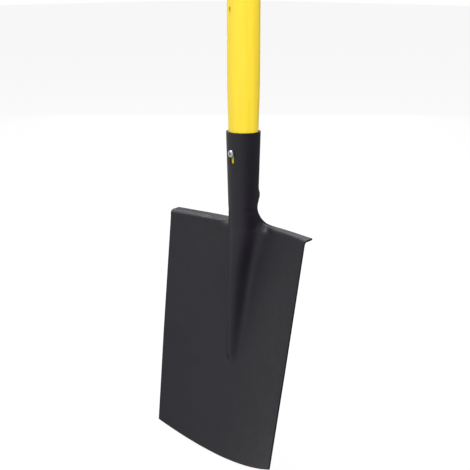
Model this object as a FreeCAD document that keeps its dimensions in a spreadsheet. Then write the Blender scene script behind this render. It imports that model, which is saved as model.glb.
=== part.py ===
"""Digging spade: pressed steel head, sheathed glass-fibre shaft and bolted D-grip.

Units are millimetres.  +Z runs up the shaft, -Y is the front (the hollow side of the blade) and +X is
the spade's left-to-right width.  The origin is the middle of the footprint on the ground, with the
spade standing upright on its cutting edge.
"""
import FreeCAD, Part
import Sketcher
import math
import os

V = FreeCAD.Vector
X_AXIS, Y_AXIS = V(1, 0, 0), V(0, 1, 0)

DIMENSIONS = {
    # where things are; heights are measured up from the ground
    "shaft_setback": 14.164,       # shaft axis behind the middle of the footprint
    "overall_length": 1120.0,      # to the top of the hand bar
    "rim_height": 379.0,           # mouth of the socket
    "tread_height": 274.74,        # where the blade turns back into the treads
    "blade_setback": 8.6,          # blade behind the shaft axis at the treads
    "lift_angle": 9.85,            # blade leans forward of the shaft
    # pressed head
    "sheet_gauge": 2.0,
    "blade_length": 278.5,
    "blade_top_width": 207.0,
    "blade_tip_width": 181.0,
    "dish_radius": 226.8,
    "edge_sag": 19.3,              # how far the middle of the cutting edge stands below its corners
    "tread_depth": 10.6,
    "tread_bend": 5.0,
    "tread_corner_radius": 3.0,
    "tread_gap_half": 24.0,        # treads stop this far each side of the neck
    "web_half_width": 36.0,        # web that joins the neck to the treads
    "web_height": 20.0,
    "web_root": 6.0,               # how far the web runs down past the bend
    "ridge_length": 169.9,         # from the treads down to the point of the central ridge
    "ridge_slope": 0.1204,         # radius of the ridge cone per millimetre of length
    "ridge_tilt": 2.04,            # ridge axis stands off the blade by this angle
    "socket_rim_radius": 19.1,
    "socket_foot_radius": 16.2,
    "socket_opening_top": 308.5,   # above this the rolled socket is closed at the back
    "shoulder_rise": 14.0,         # the ridge runs into the neck this far above the treads
    "slot_width": 6.0,
    "slot_bottom": 344.5,
    "slot_top": 359.5,
    # shaft
    "shaft_radius": 18.0,
    "taper_top": 432.0,
    "sheath_rim_radius": 16.55,
    "sheath_foot": 313.0,
    "sheath_foot_radius": 14.9,
    "sheath_top": 980.0,
    "spigot_radius": 17.3,         # shaft inside the grip
    "core_radius": 12.5,
    "core_bore_radius": 8.0,
    "plug_length": 50.0,
    # socket screw
    "screw_height": 356.0,
    "screw_shank_radius": 2.4,
    "screw_head_radius": 4.1,
    "screw_head_height": 2.8,
    "screw_length": 25.0,
    "recess_reach": 0.6,           # half length of a cross recess, as a share of the head's radius
    "recess_width": 0.28,          # width of a cross recess, as a share of the head's radius
    # grip
    "collar_bottom": 893.0,
    "collar_radius": 20.5,
    "yoke_bottom": 905.0,
    "yoke_radius": 22.5,
    "yoke_socket_top": 988.0,
    "crotch_height": 1003.0,
    "crotch_half_width": 8.0,
    "arm_height": 1062.0,
    "grip_half_width": 65.0,
    "ear_inner": 49.0,
    "ear_radius": 16.0,
    "window_radius": 6.0,
    "bar_tube_radius": 6.5,
    "bar_sleeve_radius": 12.5,
    "bar_pad_radius": 17.0,
    "pad_edge_radius": 2.5,
    "pad_end_gap": 0.5,
    "bar_bolt_radius": 3.0,
    "bar_bolt_clearance": 0.2,
    "bar_head_radius": 5.25,
    "bar_head_height": 3.2,
    "bar_nut_corner_radius": 5.77,
    "bar_nut_height": 4.0,
    "bar_washer_radius": 8.0,
    "end_cap_thickness": 1.6,
    "ear_counterbore_radius": 8.5,
    "ear_counterbore_depth": 8.5,
    "cross_bolt_height": 945.0,
    "cross_bolt_radius": 2.5,
    "cross_head_radius": 5.0,
    "cross_head_height": 2.6,
    "cross_washer_radius": 6.2,
    "washer_thickness": 1.2,
}

doc = FreeCAD.newDocument("digging_spade")
sheet = doc.addObject("Spreadsheet::Sheet", "Dimensions")
for row, (alias, value) in enumerate(DIMENSIONS.items(), start=1):
    sheet.set("A%d" % row, alias)
    sheet.set("B%d" % row, str(value))
    sheet.setAlias("B%d" % row, alias)
doc.recompute()


def size(alias):
    """Value of one cell of the sheet."""
    return float(sheet.get(alias))


def bound(words):
    """Expression text in which each alias is read from the sheet."""
    for alias in sorted(DIMENSIONS, key=len, reverse=True):
        words = words.replace("{%s}" % alias, "Dimensions.%s" % alias)
    return words


def evaluate(words):
    """Number that an expression has now, as a first guess for a sketch."""
    for alias in DIMENSIONS:
        words = words.replace("{%s}" % alias, "(%r)" % size(alias))
    probe = doc.addObject("App::FeaturePython", "Probe")
    probe.addProperty("App::PropertyFloat", "Value")
    probe.setExpression("Value", words)
    probe.recompute()
    value = probe.Value
    doc.removeObject(probe.Name)
    return value


def origin_plane(body, role):
    return next(plane for plane in body.Origin.OriginFeatures if plane.Role == role)


def new_body(label):
    body = doc.addObject("PartDesign::Body", label)
    body.Label = label
    return body


def outline(body, role, name, *loops):
    """Sketch of closed straight-sided loops; each corner is a pair of expressions."""
    sketch = body.newObject("Sketcher::SketchObject", name)
    sketch.AttachmentSupport = [(origin_plane(body, role), "")]
    sketch.MapMode = "FlatFace"
    for loop in loops:
        corners = [V(evaluate(across), evaluate(along), 0) for across, along in loop]
        first = sketch.GeometryCount
        for here, there in zip(corners, corners[1:] + corners[:1]):
            sketch.addGeometry(Part.LineSegment(here, there), False)
        for number, (across, along) in enumerate(loop):
            line, before = first + number, first + (number - 1) % len(loop)
            sketch.addConstraint(Sketcher.Constraint("Coincident", before, 2, line, 1))
            bind(sketch, Sketcher.Constraint("DistanceX", -1, 1, line, 1, corners[number].x), across)
            bind(sketch, Sketcher.Constraint("DistanceY", -1, 1, line, 1, corners[number].y), along)
    return sketch


def bind(sketch, constraint, words):
    index = sketch.addConstraint(constraint)
    if "{" in words:
        sketch.setExpression("Constraints[%d]" % index, bound(words))


def revolve(body, name, profile, angle="360", role="XZ_Plane"):
    """Solid of revolution about the body's Z axis; the profile is (radius, height) pairs."""
    sketch = outline(body, role, name + "_profile", profile)
    feature = body.newObject("PartDesign::Revolution", name)
    feature.Profile = sketch
    feature.ReferenceAxis = (sketch, ["V_Axis"])
    feature.Midplane = True
    feature.setExpression("Angle", bound(angle))
    doc.recompute()
    return feature


def pad(body, name, role, depth, *loops):
    sketch = outline(body, role, name + "_outline", *loops)
    feature = body.newObject("PartDesign::Pad", name)
    feature.Profile = sketch
    feature.Midplane = True
    feature.setExpression("Length", bound(depth))
    doc.recompute()
    return feature


def pocket(body, name, role, depth, *loops):
    before = body.Shape.Volume
    sketch = outline(body, role, name + "_outline", *loops)
    feature = body.newObject("PartDesign::Pocket", name)
    feature.Profile = sketch
    feature.Midplane = True
    feature.setExpression("Length", bound(depth))
    doc.recompute()
    if not body.Shape.Volume < before - 0.01:
        raise RuntimeError(name + " cut nothing")
    return feature


def fillet(body, name, radius, wanted):
    """Round every edge of the body for which wanted(edge) is true."""
    tip = body.Tip
    edges = ["Edge%d" % (i + 1) for i, edge in enumerate(tip.Shape.Edges) if wanted(edge)]
    feature = body.newObject("PartDesign::Fillet", name)
    feature.Base = (tip, edges)
    feature.setExpression("Radius", bound(radius))
    doc.recompute()
    return feature


def place(thing, x="0", y="0", z="0", axis=None, angle="0"):
    """Bind where a piece stands, in the object's frame."""
    if axis is not None:
        thing.Placement = FreeCAD.Placement(V(0, 0, 0), FreeCAD.Rotation(axis, evaluate(angle)))
        thing.setExpression("Placement.Rotation.Angle", bound(angle))
    for letter, words in zip("xyz", (x, y, z)):
        thing.setExpression("Placement.Base." + letter, bound(words))
    doc.recompute()
    return thing


def cylinder(name, radius, height, **where):
    thing = doc.addObject("Part::Cylinder", name)
    thing.setExpression("Radius", bound(radius))
    thing.setExpression("Height", bound(height))
    return place(thing, **where)


def cone(name, radius_low, radius_high, height, **where):
    thing = doc.addObject("Part::Cone", name)
    thing.setExpression("Radius1", bound(radius_low))
    thing.setExpression("Radius2", bound(radius_high))
    thing.setExpression("Height", bound(height))
    return place(thing, **where)


def box(name, length, width, height, **where):
    thing = doc.addObject("Part::Box", name)
    thing.setExpression("Length", bound(length))
    thing.setExpression("Width", bound(width))
    thing.setExpression("Height", bound(height))
    return place(thing, **where)


def cut(name, base, tool):
    result = doc.addObject("Part::Cut", name)
    result.Base, result.Tool = base, tool
    doc.recompute()
    if not result.Shape.Volume < base.Shape.Volume - 0.01:
        raise RuntimeError(name + " cut nothing")
    return result


def fuse(name, *things):
    result = doc.addObject("Part::MultiFuse", name)
    result.Shapes = list(things)
    doc.recompute()
    return result


def common(name, *things):
    result = doc.addObject("Part::MultiCommon", name)
    result.Shapes = list(things)
    doc.recompute()
    return result


def round_edges(name, base, radius, wanted):
    """Round every edge of a finished solid for which wanted(edge) is true."""
    result = doc.addObject("Part::Fillet", name)
    result.Base = base
    result.Edges = [(number, evaluate(radius), evaluate(radius))
                    for number, edge in enumerate(base.Shape.Edges, start=1) if wanted(edge)]
    doc.recompute()
    return result


AXIS_Y = "{shaft_setback}"
BAR_HEIGHT = "({overall_length} - {bar_pad_radius})"


def socket_radius(height):
    """Outside radius of the conical socket at a height."""
    growth = "({socket_rim_radius} - {socket_foot_radius}) / ({rim_height} - {tread_height})"
    return "({socket_foot_radius} + (%s - {tread_height}) * %s)" % (height, growth)


SCREW_SEAT = AXIS_Y + " - " + socket_radius("{screw_height}")


# ---------------------------------------------------------------- head
DISH_AXIS = {"y": "{shaft_setback} + {blade_setback} - {dish_radius} * cos({lift_angle})",
             "z": "{tread_height} + {dish_radius} * sin({lift_angle})",
             "axis": X_AXIS, "angle": "-{lift_angle}"}
RIDGE_POINT = {"y": "{shaft_setback} + {blade_setback} + {sheet_gauge} / 2"
                    " - {ridge_length} * sin({lift_angle})",
               "z": "{tread_height} - {ridge_length} * cos({lift_angle})",
               "axis": X_AXIS, "angle": "{ridge_tilt} - {lift_angle}"}


def on_circle(edge, radius, height):
    curve = edge.Curve
    return (isinstance(curve, Part.Circle) and abs(curve.Radius - radius) < 0.01
            and abs(edge.CenterOfMass.z - height) < 0.01)


def blade_pressing():
    """Dished blade with its treads turned back, made about the axis of the dish."""
    body = new_body("blade_pressing")
    inner, outer = "{dish_radius}", "{dish_radius} + {sheet_gauge}"
    back = "{dish_radius} + {tread_depth}"
    revolve(body, "blade_and_treads", [
        (inner, "-{blade_length} - 5"), (outer, "-{blade_length} - 5"), (outer, "-{sheet_gauge}"),
        (back, "-{sheet_gauge}"), (back, "0"), (inner, "0")], angle="62", role="YZ_Plane")
    fillet(body, "outer_bend", "{tread_bend}", lambda edge: on_circle(edge, size("dish_radius"), 0))
    fillet(body, "inner_bend", "{tread_bend} - {sheet_gauge}",
           lambda edge: on_circle(edge, size("dish_radius") + size("sheet_gauge"), -size("sheet_gauge")))
    revolve(body, "neck_web", [
        (inner, "-{tread_bend} - {web_root}"), (outer, "-{tread_bend} - {web_root}"),
        (outer, "{web_height}"), (inner, "{web_height}")],
        angle="2 * asin({web_half_width} / {dish_radius})", role="YZ_Plane")
    top, tip = "{blade_top_width} / 2", "{blade_tip_width} / 2"
    margin = "{dish_radius}"
    outside = [("-" + margin, "-2 * " + margin), (margin, "-2 * " + margin), (margin, margin),
               ("-" + margin, margin)]
    kept = [("-" + tip, "-{blade_length}"), (tip, "-{blade_length}"), (top, "0"),
            (top, "{web_height} + 1"), ("-" + top, "{web_height} + 1"), ("-" + top, "0")]
    pocket(body, "side_trim", "XZ_Plane", "4 * {dish_radius}", outside, kept)
    gap = [("-{tread_gap_half}", outer), ("{tread_gap_half}", outer),
           ("{tread_gap_half}", back + " + 5"), ("-{tread_gap_half}", back + " + 5")]
    pocket(body, "tread_gap", "XY_Plane", "4 * {tread_bend}", gap)
    fillet(body, "tread_corners", "{tread_corner_radius}",
           lambda edge: edge.Length < size("sheet_gauge") + 0.1
           and edge.CenterOfMass.y > size("dish_radius") * 0.7
           and abs(edge.CenterOfMass.x) > size("blade_top_width") * 0.45
           and edge.CenterOfMass.z > -size("tread_bend")
           and abs(edge.tangentAt(edge.FirstParameter).z) > 0.9)
    return place(body, **DISH_AXIS)


def revolved(label, profile, **where):
    """Plain turned solid on its own axis, placed in the object's frame."""
    body = new_body(label)
    revolve(body, label + "_turning", profile)
    return place(body, **where)


def ridge(label, inset):
    """Cone under the central ridge, with its shoulder up to the neck, drawn in by inset."""
    start = "%s / {ridge_slope}" % inset
    shoulder = "{ridge_length} + {web_height} + {shoulder_rise}"
    return revolved(label, [
        ("0", start), ("{ridge_slope} * {ridge_length} - " + inset, "{ridge_length}"),
        ("{socket_foot_radius} - " + inset, shoulder), ("0", shoulder)], **RIDGE_POINT)


def socket(label, low, high, inset):
    """Conical run of the socket between two heights, drawn in by inset."""
    return cone(label, socket_radius(low) + " - " + inset, socket_radius(high) + " - " + inset,
                "%s - %s" % (high, low), y=AXIS_Y, z=low)


def spade_head():
    """Blade, treads, ridge and rolled socket: one pressed sheet."""
    blade = blade_pressing()
    edge_radius = "(({blade_tip_width} / 2) ^ 2 + {edge_sag} ^ 2) / (2 * {edge_sag})"
    drop = "(%s - {blade_length})" % edge_radius
    edge_disc = cylinder(
        "cutting_edge_disc", edge_radius, "2 * {dish_radius}",
        y=DISH_AXIS["y"] + " + " + drop + " * sin({lift_angle})",
        z=DISH_AXIS["z"] + " + " + drop + " * cos({lift_angle})",
        axis=X_AXIS, angle="-90 - {lift_angle}")
    upper_blade = box(
        "upper_blade", "2 * {dish_radius}", "2 * {dish_radius}", "{blade_length}",
        x="-{dish_radius}", y=DISH_AXIS["y"] + " - {blade_length} / 2 * sin({lift_angle})",
        z=DISH_AXIS["z"] + " - {blade_length} / 2 * cos({lift_angle})",
        axis=X_AXIS, angle="-{lift_angle}")
    trimmed = common("trimmed_blade", blade, fuse("edge_region", edge_disc, upper_blade))

    foot, mouth, opening = "({tread_height} - {web_height})", "{rim_height}", "{socket_opening_top}"
    front_of_sheet = cylinder("front_of_sheet", "{dish_radius} + {sheet_gauge}", "4 * {dish_radius}",
                              y=DISH_AXIS["y"] + " - 2 * {dish_radius} * sin({lift_angle})",
                              z=DISH_AXIS["z"] + " - 2 * {dish_radius} * cos({lift_angle})",
                              axis=X_AXIS, angle="-{lift_angle}")
    pressed = common("pressed_front",
                     fuse("ridge_and_neck", ridge("ridge_outside", "0"),
                          socket("neck_outside", foot, opening, "0")), front_of_sheet)
    closed = socket("socket_outside", opening, mouth, "0")
    hollow = fuse("head_hollow", ridge("ridge_inside", "{sheet_gauge}"),
                  socket("socket_inside", foot, "({rim_height} + 1)", "{sheet_gauge}"))
    web_cuts = [cylinder("neck_curve_" + side, "{web_height}", "4 * {dish_radius}",
                         x=sign + "({web_half_width})",
                         y="-2 * {dish_radius}", z="{tread_height} + 1.02 * {web_height}",
                         axis=X_AXIS, angle="-90")
                for side, sign in (("left", "-"), ("right", ""))]
    webbed = cut("webbed_blade", trimmed, fuse("neck_curves", *web_cuts))
    sheet_metal = cut("sheet_metal", fuse("pressed_sheet", webbed, pressed, closed), hollow)
    half = "{slot_width} / 2"
    slot_ends = [cylinder("slot_end_" + name, half, "2 * {socket_rim_radius}",
                          y=AXIS_Y + " - 2.5 * {socket_rim_radius}", z=height,
                          axis=X_AXIS, angle="-90")
                 for name, height in (("low", "{slot_bottom} + " + half), ("high", "{slot_top} - " + half))]
    slot_middle = box("slot_middle", "{slot_width}", "2 * {socket_rim_radius}",
                      "{slot_top} - {slot_bottom} - {slot_width}", x="-" + half,
                      y=AXIS_Y + " - 2.5 * {socket_rim_radius}", z="{slot_bottom} + " + half)
    return cut("spade_head", sheet_metal, fuse("screw_slot", slot_middle, *slot_ends))


# ---------------------------------------------------------------- shaft
def shaft_pieces():
    """Yellow sheath over a glass-fibre tube, with a plug in each end of the tube."""
    sheath = revolved("shaft_sheath_blank", [
        ("{core_radius}", "{sheath_foot}"), ("{sheath_foot_radius}", "{sheath_foot}"),
        ("{sheath_rim_radius}", "{rim_height}"), ("{shaft_radius}", "{taper_top}"),
        ("{shaft_radius}", "{collar_bottom}"), ("{spigot_radius}", "{collar_bottom}"),
        ("{spigot_radius}", "{sheath_top}"), ("{core_radius}", "{sheath_top}")], y=AXIS_Y)
    core = revolved("shaft_core_blank", [
        ("{core_bore_radius}", "{sheath_foot}"), ("{core_radius}", "{sheath_foot}"),
        ("{core_radius}", "{sheath_top}"), ("{core_bore_radius}", "{sheath_top}")], y=AXIS_Y)
    lower = cylinder("lower_plug_blank", "{core_bore_radius}", "{plug_length}", y=AXIS_Y, z="{sheath_foot}")
    upper = cylinder("upper_plug_blank", "{core_bore_radius}", "{plug_length}", y=AXIS_Y,
                     z="{sheath_top} - {plug_length}")
    pilot = screw_shank("socket_screw_pilot")
    cross = cross_hole("shaft_cross_hole", "4 * {yoke_radius}")
    both = fuse("shaft_holes", pilot, cross)
    cut("shaft_sheath", sheath, both)
    cut("shaft_core", core, both)
    cut("lower_core_plug", lower, pilot)
    cut("upper_core_plug", upper, cross)


def screw_shank(name):
    """Shank with a pointed end, from the socket's front face back into the shaft."""
    seat = SCREW_SEAT
    shank = cylinder(name + "_shank", "{screw_shank_radius}",
                     "{screw_length} - 2 * {screw_shank_radius}",
                     y=seat, z="{screw_height}", axis=X_AXIS, angle="-90")
    point = cone(name + "_point", "{screw_shank_radius}", "0.4", "2 * {screw_shank_radius}",
                 y=seat + " + {screw_length} - 2 * {screw_shank_radius}", z="{screw_height}",
                 axis=X_AXIS, angle="-90")
    return fuse(name, shank, point)


def cross_hole(name, length):
    return cylinder(name, "{cross_bolt_radius}", length, y=AXIS_Y + " - (%s) / 2" % length,
                    z="{cross_bolt_height}", axis=X_AXIS, angle="-90")


def pan_head(name, radius, height, seat, z):
    """Low domed screw head with a cross recess, facing the front."""
    body = revolved(name + "_blank", [
        ("0", "0"), (radius, "0"), (radius, "0.45 * " + height), ("0.72 * " + radius, height),
        ("0", height)], y=seat, z=z, axis=X_AXIS, angle="90")
    outside = seat + " - 1.45 * " + height
    reach, half = "{recess_reach} * " + radius, "{recess_width} / 2 * " + radius
    upright = box(name + "_recess_upright", "2 * " + half, height, "2 * " + reach,
                  x="-" + half, y=outside, z=z + " - " + reach)
    flat = box(name + "_recess_flat", "2 * " + reach, height, "2 * " + half,
               x="-" + reach, y=outside, z=z + " - " + half)
    return cut(name, body, fuse(name + "_recess", upright, flat))


def socket_screw():
    """Cross-recess pan-head screw through the slot in the front of the socket."""
    head = pan_head("socket_screw_head", "{screw_head_radius}", "{screw_head_height}", SCREW_SEAT,
                    "{screw_height}")
    fuse("socket_screw", head, screw_shank("socket_screw_shank"))


# ---------------------------------------------------------------- grip
def mirrored(points):
    """Half outline given from the bottom up on the right, closed round to the left."""
    return points + [("-(%s)" % across, along) for across, along in reversed(points)]


def grip_yoke():
    """Moulded Y that takes the shaft below and carries the hand bar between its two ears."""
    frame = new_body("yoke_frame")
    top = BAR_HEIGHT + " + {ear_radius}"
    bar_height = evaluate(BAR_HEIGHT)
    outer = mirrored([("{yoke_radius}", "{yoke_socket_top} - 20"), ("{grip_half_width}", "{arm_height}"),
                      ("{grip_half_width}", top)])
    window = mirrored([("{crotch_half_width}", "{crotch_height}"), ("{ear_inner}", "{arm_height} - 4"),
                       ("{ear_inner}", top + " + 1")])
    pad(frame, "yoke_web", "XZ_Plane", "2 * {ear_radius}", outer)
    pocket(frame, "hand_window", "XZ_Plane", "4 * {ear_radius}", window)
    fillet(frame, "ear_rounding", "{ear_radius} - 0.05",
           lambda edge: is_along(edge, X_AXIS) and edge.CenterOfMass.z > bar_height)
    fillet(frame, "window_rounding", "{window_radius}", lambda edge: is_along(edge, Y_AXIS)
           and size("yoke_socket_top") < edge.CenterOfMass.z < bar_height)
    place(frame, y=AXIS_Y)
    tube = revolved("yoke_tube", [
        ("0", "{yoke_bottom}"), ("{yoke_radius} - 1", "{yoke_bottom}"),
        ("{yoke_radius}", "{yoke_bottom} + 1"), ("{yoke_radius}", "{yoke_socket_top} - 12"),
        ("{yoke_radius} - 8", "{yoke_socket_top} + 4"), ("0", "{yoke_socket_top} + 4")], y=AXIS_Y)
    bore = cylinder("yoke_bore", "{spigot_radius}", "{sheath_top} - {yoke_bottom} + 1", y=AXIS_Y,
                    z="{yoke_bottom} - 1")
    bolt_way = along_x("bar_bolt_way", "{bar_bolt_radius}", "-{grip_half_width} - 1",
                       "{grip_half_width} + 1")
    seats = [along_x("bolt_seat_" + side, "{ear_counterbore_radius}", low, high)
             for side, low, high in (
                 ("left", "-{grip_half_width} - 1", "-{grip_half_width} + {ear_counterbore_depth}"),
                 ("right", "{grip_half_width} - {ear_counterbore_depth}", "{grip_half_width} + 1"))]
    ways = fuse("yoke_ways", bore, bolt_way, cross_hole("yoke_cross_hole", "4 * {yoke_radius}"), *seats)
    cut("grip_yoke", fuse("yoke_moulding", frame, tube), ways)


def is_along(edge, direction):
    return (isinstance(edge.Curve, (Part.Line, Part.LineSegment))
            and abs(edge.tangentAt(edge.FirstParameter).dot(direction)) > 0.999)


def along_x(name, radius, low, high):
    """Cylinder on the hand bar's axis between two places across the width."""
    return cylinder(name, radius, "(%s) - (%s)" % (high, low), x=low, y=AXIS_Y, z=BAR_HEIGHT,
                    axis=Y_AXIS, angle="90")


def sleeve(label, inside, outside, half_length):
    """Tube on the hand bar's axis, centred on the spade."""
    low, high = "-(%s)" % half_length, half_length
    return revolved(label, [(inside, low), (outside, low), (outside, high), (inside, high)],
                    y=AXIS_Y, z=BAR_HEIGHT, axis=Y_AXIS, angle="90")


def hand_bar():
    """Steel spacer tube, hard sleeve and soft pad, stacked round the long bolt."""
    sleeve("grip_bar_tube", "{bar_bolt_radius} + {bar_bolt_clearance}", "{bar_tube_radius}",
           "{ear_inner}")
    sleeve("grip_bar_sleeve", "{bar_tube_radius}", "{bar_sleeve_radius}", "{ear_inner}")
    pad_blank = sleeve("grip_pad_blank", "{bar_sleeve_radius}", "{bar_pad_radius}",
                       "{ear_inner} - {pad_end_gap}")
    round_edges("grip_soft_pad", pad_blank, "{pad_edge_radius}",
                lambda edge: isinstance(edge.Curve, Part.Circle)
                and abs(edge.Curve.Radius - size("bar_pad_radius")) < 0.01)


def bar_fasteners():
    """Long bolt, nut, washers and the caps that hide them in the ears."""
    seat = "{grip_half_width} - {ear_counterbore_depth}"
    under_head = seat + " + {washer_thickness}"
    under_nut = "-(%s + {bar_nut_height})" % under_head
    shank = along_x("bar_bolt_shank", "{bar_bolt_radius}", under_nut, under_head)
    head = along_x("bar_bolt_head", "{bar_head_radius}", under_head, under_head + " + {bar_head_height}")
    fuse("grip_bar_bolt", shank, head)
    nut_block = doc.addObject("Part::Prism", "bar_nut_block")
    nut_block.Polygon = 6
    nut_block.setExpression("Circumradius", bound("{bar_nut_corner_radius}"))
    nut_block.setExpression("Height", bound("{bar_nut_height}"))
    place(nut_block, x=under_nut, y=AXIS_Y, z=BAR_HEIGHT, axis=Y_AXIS, angle="90")
    cut("grip_bar_nut", nut_block, shank)
    washers = []
    for side, low, high in (("left", "-(%s)" % under_head, "-(%s)" % seat),
                            ("right", seat, under_head)):
        disc = along_x("bar_washer_blank_" + side, "{bar_washer_radius}", low, high)
        washers.append(cut("bar_washer_" + side, disc, shank))
    fuse("grip_bar_washers", *washers)
    cap_in = "{grip_half_width} - {end_cap_thickness}"
    for side, low, high in (("left", "-{grip_half_width}", "-(%s)" % cap_in),
                            ("right", cap_in, "{grip_half_width}")):
        along_x("grip_end_cap_" + side, "{ear_counterbore_radius}", low, high)


def yoke_fasteners():
    """Cross bolt that pins the yoke to the shaft, its sleeve nut, and the mouth collar."""
    front, back = "{shaft_setback} - {yoke_radius}", "{shaft_setback} + {yoke_radius}"
    head = pan_head("yoke_bolt_head", "{cross_head_radius}", "{cross_head_height}",
                    front + " - {washer_thickness}", "{cross_bolt_height}")
    shank = cylinder("yoke_bolt_shank", "{cross_bolt_radius}",
                     "2 * {yoke_radius} + 2 * {washer_thickness} + 0.7 * {cross_head_height}",
                     y=front + " - {washer_thickness}", z="{cross_bolt_height}",
                     axis=X_AXIS, angle="-90")
    fuse("yoke_cross_bolt", head, shank)
    nut_blank = revolved("yoke_nut_blank", [
        ("0", "0"), ("{cross_head_radius}", "0"), ("{cross_head_radius}", "0.5 * {cross_head_height}"),
        ("0.75 * {cross_head_radius}", "{cross_head_height}"), ("0", "{cross_head_height}")],
        y=back + " + {washer_thickness}", z="{cross_bolt_height}", axis=X_AXIS, angle="-90")
    cut("yoke_cross_nut", nut_blank, shank)
    washers = []
    for side, start in (("front", front + " - {washer_thickness}"), ("back", back)):
        disc = cylinder("yoke_washer_blank_" + side, "{cross_washer_radius}", "{washer_thickness}",
                        y=start, z="{cross_bolt_height}", axis=X_AXIS, angle="-90")
        washers.append(cut("yoke_washer_" + side, disc, cross_hole("washer_hole_" + side,
                                                                     "4 * {yoke_radius}")))
    fuse("yoke_washers", *washers)
    revolved("grip_collar", [
        ("{spigot_radius}", "{collar_bottom}"), ("{shaft_radius} + 0.4", "{collar_bottom}"),
        ("{collar_radius}", "{collar_bottom} + 4"), ("{yoke_radius} - 1", "{yoke_bottom}"),
        ("{spigot_radius}", "{yoke_bottom}")], y=AXIS_Y)


# ---------------------------------------------------------------- whole spade
spade_head()
shaft_pieces()
socket_screw()
grip_yoke()
hand_bar()
bar_fasteners()
yoke_fasteners()
doc.recompute()

NODES = ["spade_head", "socket_screw", "shaft_sheath", "shaft_core", "lower_core_plug",
         "upper_core_plug", "grip_collar", "grip_yoke", "yoke_cross_bolt", "yoke_cross_nut",
         "yoke_washers", "grip_bar_tube", "grip_bar_sleeve", "grip_soft_pad", "grip_bar_bolt",
         "grip_bar_nut", "grip_bar_washers", "grip_end_cap_left", "grip_end_cap_right"]

for thing in doc.Objects:
    if "Invalid" in thing.State or "Error" in thing.State:
        raise RuntimeError("%s did not build: %s" % (thing.Name, thing.State))
os.makedirs("parts", exist_ok=True)
for node in NODES:
    shape = doc.getObjectsByLabel(node)[0].Shape
    if shape.isNull() or not shape.isValid():
        raise RuntimeError(node + " has no valid shape")
    shape.exportStep("parts/%s.step" % node)
    print("%-20s solids %d  volume %9.0f" % (node, len(shape.Solids), shape.Volume))
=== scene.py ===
"""Looks of a digging spade: black pressed head, yellow sheathed shaft and black bolted D-grip.

Lengths in this script are millimetres until a mesh is made, which is in metres.  The frame is the CAD's:
+Z up the shaft, -Y to the front (the hollow face of the blade), +X across the blade.
"""
import math

import bmesh
import bpy
import numpy as np
from mathutils import Matrix, Vector


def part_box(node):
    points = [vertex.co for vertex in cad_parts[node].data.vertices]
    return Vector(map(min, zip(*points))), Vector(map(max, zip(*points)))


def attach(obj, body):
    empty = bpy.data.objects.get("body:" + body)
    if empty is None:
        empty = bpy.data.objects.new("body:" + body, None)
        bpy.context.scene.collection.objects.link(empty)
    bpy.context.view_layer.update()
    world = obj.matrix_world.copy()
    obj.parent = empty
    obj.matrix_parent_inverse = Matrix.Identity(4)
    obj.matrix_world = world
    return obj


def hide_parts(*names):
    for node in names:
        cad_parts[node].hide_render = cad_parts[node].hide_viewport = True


MM = 0.001
BODY = "root"

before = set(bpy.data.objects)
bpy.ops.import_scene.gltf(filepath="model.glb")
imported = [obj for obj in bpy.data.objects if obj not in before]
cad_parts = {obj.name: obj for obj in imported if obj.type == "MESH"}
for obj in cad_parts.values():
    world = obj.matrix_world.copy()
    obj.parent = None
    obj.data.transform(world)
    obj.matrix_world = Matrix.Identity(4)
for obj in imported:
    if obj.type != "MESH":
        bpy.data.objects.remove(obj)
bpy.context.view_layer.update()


def cad_box(node):
    """Lowest and highest corner of a CAD node, in millimetres."""
    low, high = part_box(node)
    return Vector(low) / MM, Vector(high) / MM


# ---------------------------------------------------------------- places read from the frame
HEAD_LOW, HEAD_HIGH = cad_box("spade_head")
SHEATH_LOW, SHEATH_HIGH = cad_box("shaft_sheath")
COLLAR_LOW, COLLAR_HIGH = cad_box("grip_collar")
SCREW_LOW, SCREW_HIGH = cad_box("socket_screw")
BOLT_LOW, BOLT_HIGH = cad_box("yoke_cross_bolt")
WASHER_LOW, WASHER_HIGH = cad_box("yoke_washers")
NUT_LOW, NUT_HIGH = cad_box("yoke_cross_nut")
YOKE_LOW, YOKE_HIGH = cad_box("grip_yoke")
PAD_LOW, PAD_HIGH = cad_box("grip_soft_pad")
AXIS_Y = (SHEATH_LOW.y + SHEATH_HIGH.y) / 2
RIM_Z = HEAD_HIGH.z
SCREW_Z = (SCREW_LOW.z + SCREW_HIGH.z) / 2
CROSS_Z = (BOLT_LOW.z + BOLT_HIGH.z) / 2
BAR_Z = (PAD_LOW.z + PAD_HIGH.z) / 2
SHAFT_RADIUS = (SHEATH_HIGH.y - SHEATH_LOW.y) / 2
YOKE_RADIUS = (YOKE_HIGH.y - YOKE_LOW.y) / 2

# ---------------------------------------------------------------- sizes of the pressed head
GAUGE = 2.0                       # of the sheet
TREAD_Z = RIM_Z - 104.26          # level of the tread tops at the middle of the blade
BLADE_SETBACK = 8.6               # front face of the blade behind the shaft axis at the treads
LIFT = math.radians(9.85)         # the blade leans forward of the shaft
DISH_RADIUS = 226.8
BLADE_LENGTH = 278.5              # from the treads to the cutting edge, along the middle
HALF_TOP = HEAD_HIGH.x - 0.5      # the slanting rim of the sheet stands out by the rest
HALF_TIP = 90.2
EDGE_SAG = 19.3                   # the cutting edge bows down by this at its middle
EDGE_START = 150.0                # rows below this bend to follow the cutting edge
TREAD_DEPTH = 10.6
FLARE_START = 0.8                 # share of the way out along a tread where its flare begins
TREAD_DROP = 1.6                  # front line of the treads below their back edge
TREAD_RISE = 0.25                 # back edge of the treads above their level
TREAD_FLARE = 3.0                 # the treads are deeper by this at their outer corners
BEND_RADIUS = 3.9                 # to the middle of the sheet
RIM_RADIUS, FOOT_RADIUS = 19.1, 16.2
SLOT_WIDTH, SLOT_BOTTOM, SLOT_TOP = 6.0, RIM_Z - 34.5, RIM_Z - 19.5


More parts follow.
